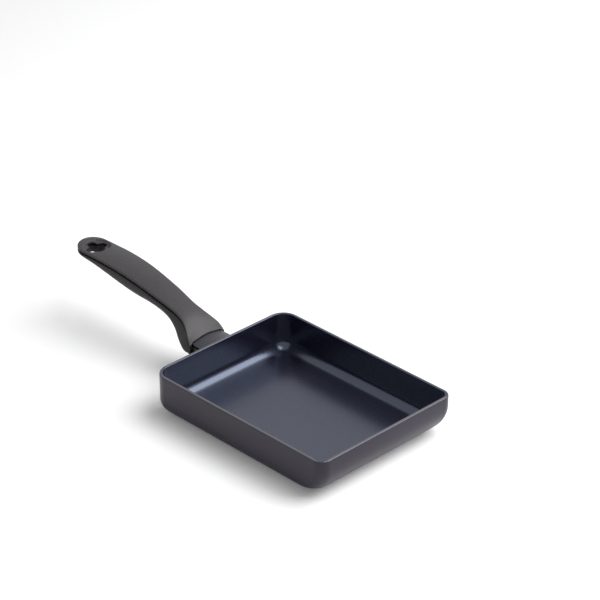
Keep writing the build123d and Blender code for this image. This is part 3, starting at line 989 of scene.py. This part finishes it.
def belly_places(x):
    edge, full, _, depth, fullness, flare = grip_sizes(x)
    half = half_at(x, 0)
    top = edge - groove_bottom
    thick = (depth - groove_bottom) * (half / full) ** belly_taper
    side = half * flare
    corner = min(belly_round, 0.3 * half, 0.3 * thick)
    handles = (
        (half, top - corner),
        (side, top - thick * fullness),
        (side * fullness, top - thick),
        (0, top - thick),
    )
    places = [(half - corner, top), (half - 0.3 * corner, top - 0.3 * corner)]
    for step in range(belly_steps + 1):
        t = step / belly_steps
        weights = ((1 - t) ** 3, 3 * t * (1 - t) ** 2, 3 * t * t * (1 - t), t ** 3)
        y = sum(weight * handle[0] for weight, handle in zip(weights, handles))
        z = sum(weight * handle[1] for weight, handle in zip(weights, handles))
        places.append((y, z))
    return places

def moulding_section(x, raised):
    """One section, with a core that stands up into the shell, or flat on top at the tail's end."""
    edge = grip_sizes(x)[0]
    top = edge - groove_bottom
    inner = max(half_at(x, groove_inset), 0.25 * mm) if raised else 0.5 * half_at(x, 0)
    seat = edge - shell_thickness - shell_gap if raised else top
    places = [(inner * share, seat) for share in (0, 0.45, 0.9, 1 if raised else 0.95)]
    return x, places + [(inner, top)] + belly_places(x)

moulding_places = section_places(0) + section_places(groove_inset)[-25:] + [tail_x + 0.01 * mm]
moulding_places = sorted(set(moulding_places), reverse=True)
beyond_core = [x for x in moulding_places if x < core_end - 0.01 * mm]
moulding_sections = [moulding_section(x, True) for x in moulding_places if x > core_end]
moulding_sections += [moulding_section(core_end - 0.002 * mm, False)]
moulding_sections += [moulding_section(x, False) for x in beyond_core]
lower_moulding = draw_sections("grip_lower_moulding", moulding_sections)

# %% [markdown]
# ### Openings of the grip
# Each opening is a block of the space that it leaves free: the lobed hanging hole, the pocket in
# the hood for the end of the neck, the slot for the bracket's tongue, the round seat below the
# dish, and the screw's hole with its counterbore. A Boolean modifier takes each block away from the
# parts that it goes through. The hanging hole is narrower in the moulding than in the shell, so its
# block is scaled between the two cuts.

# %% Block of the hanging hole
lobe_reach = 10.2 * mm
moulding_share = 0.84
waist = 0.66
waist_reach = 6.4 * mm
hole_low = 20 * mm
hole_rise = 60 * mm
hanging_hole = start_piece(
    "hanging_hole_space",
    bpy.ops.mesh.primitive_circle_add,
    vertices=96,
    radius=lobe_reach,
    fill_type="NGON",
    location=(hole_x, 0, hole_low),
)
bpy.ops.object.transform_apply(location=True, rotation=True, scale=True)
bpy.ops.object.mode_set(mode="EDIT")
hold(lambda p: abs(abs(p.co.x - hole_x) - abs(p.co.y)) < 0.02 * mm)
bpy.ops.transform.resize(
    value=(waist, waist, 1),
    center_override=(hole_x, 0, hole_low),
    use_proportional_edit=True,
    proportional_edit_falloff="SMOOTH",
    proportional_size=waist_reach,
)
bpy.ops.mesh.select_all(action="SELECT")
bpy.ops.mesh.extrude_region_move(TRANSFORM_OT_translate={"value": (0, 0, hole_rise)})
bpy.ops.mesh.select_all(action="SELECT")
bpy.ops.mesh.normals_make_consistent(inside=False)
bpy.ops.object.mode_set(mode="OBJECT")
print("hanging hole is", round(hanging_hole.dimensions.x / mm, 1), "mm across")

# %% Blocks for the neck and the tongue
pocket_half = 16.8
pocket_low = 25.7
pocket_side = 34.3
pocket_crown = 2.8
pocket_turns = [math.radians(18) * step for step in range(6)]
pocket_outline = [
    (pocket_half * math.sin(turn) * mm, (pocket_side + pocket_crown * math.cos(turn)) * mm)
    for turn in pocket_turns
]
pocket_outline += [(pocket_half * mm, pocket_low * mm), (0, pocket_low * mm)]
pocket_ends = (-109 * mm, -117 * mm)
neck_pocket = draw_sections("neck_pocket_space", [(x, pocket_outline) for x in pocket_ends])

slot_half = 6.3

def slot_section(x, low, high):
    corners = [(0, high), (slot_half, high), (slot_half, low), (0, low)]
    return x * mm, [(y * mm, z * mm) for y, z in corners]

tongue_slot = draw_sections("tongue_slot_space", [
    slot_section(-116, 25.8, 33.5),
    slot_section(-139, 41.4, 49.7),
    slot_section(-141.2, 42.9, 49.7),
    slot_section(-155.4, 42.9, 49.7),
])

# %% Blocks for the seat and the screw
def bore(name, x, radius, low, high):
    return start_piece(
        name,
        bpy.ops.mesh.primitive_cylinder_add,
        vertices=64,
        radius=radius,
        depth=high - low,
        location=(x, 0, (low + high) / 2),
    )

screw_low, screw_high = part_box("handle_screw")
screw_x = (screw_low.x + screw_high.x) / 2
dish_seat = bore("dish_seat_space", hole_x, radius=12.2 * mm, low=63.3 * mm, high=70 * mm)
counterbore = bore("counterbore_space", screw_x, radius=3.9 * mm, low=16 * mm, high=41.2 * mm)
shank_hole = bore("shank_hole_space", screw_x, radius=2.15 * mm, low=38 * mm, high=46 * mm)
print("screw stands at", round(screw_x / mm, 1), "mm")

# %% Take the blocks away
def take_away(piece, blocks):
    take_up(piece)
    for space in blocks:
        cut = piece.modifiers.new("cut", "BOOLEAN")
        cut.operation = "DIFFERENCE"
        cut.solver = "EXACT"
        cut.object = space
        bpy.ops.object.modifier_apply(modifier=cut.name)
        print(piece.name, "has", len(piece.data.polygons), "faces after", space.name)

take_away(top_shell, [hanging_hole, neck_pocket])

take_up(hanging_hole)
narrower = (moulding_share, moulding_share, 1)
bpy.ops.object.mode_set(mode="EDIT")
bpy.ops.mesh.select_all(action="SELECT")
bpy.ops.transform.resize(value=narrower, center_override=(hole_x, 0, 0))
bpy.ops.object.mode_set(mode="OBJECT")

spaces = [dish_seat, hanging_hole, neck_pocket, tongue_slot, counterbore, shank_hole]
take_away(lower_moulding, spaces)
for space in spaces:
    bpy.data.objects.remove(space)

# %% Smooth the grip and finish it
for piece, finish, slot, node in (
    (top_shell, shell_plastic, "grip_shell", "grip_cover"),
    (lower_moulding, body_plastic_painted_shade, "grip_moulding", "grip_body"),
):
    take_up(piece)
    bpy.ops.object.shade_smooth_by_angle(angle=math.radians(32))
    piece.data.materials.append(finish)
    finish_piece(piece, "root", [node])

# %% [markdown]
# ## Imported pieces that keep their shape
# The solids of the plate, the bracket with its studs, the screw and its washers are already right.
# Only their finish changes, through their material slots.

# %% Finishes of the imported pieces
finish_of_node = {
    "induction_plate": plate_steel,
    "handle_bracket": bracket_lacquer,
    "bracket_studs": stud_aluminium,
    "neck_cover": cover_lacquer,
    "handle_screw": screw_zinc,
    "flat_washer": screw_zinc,
    "lock_washer": screw_zinc,
}
for node, finish in finish_of_node.items():
    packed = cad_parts[node]
    packed.data.materials.clear()
    packed.data.materials.append(finish)
    print(node, "has", finish.name)

# %% [markdown]
# ## Compare the sizes
# The dressed pan has to stay inside the box of the imported solids. The last line prints by how
# much the dressed pan's box reaches beyond that box on each side.

# %% Write the sizes and finish
dressed_low, dressed_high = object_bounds()
growth = [*(solid_low - dressed_low), *(dressed_high - solid_high)]
print("grown by", [round(side / mm, 3) for side in growth], "mm")
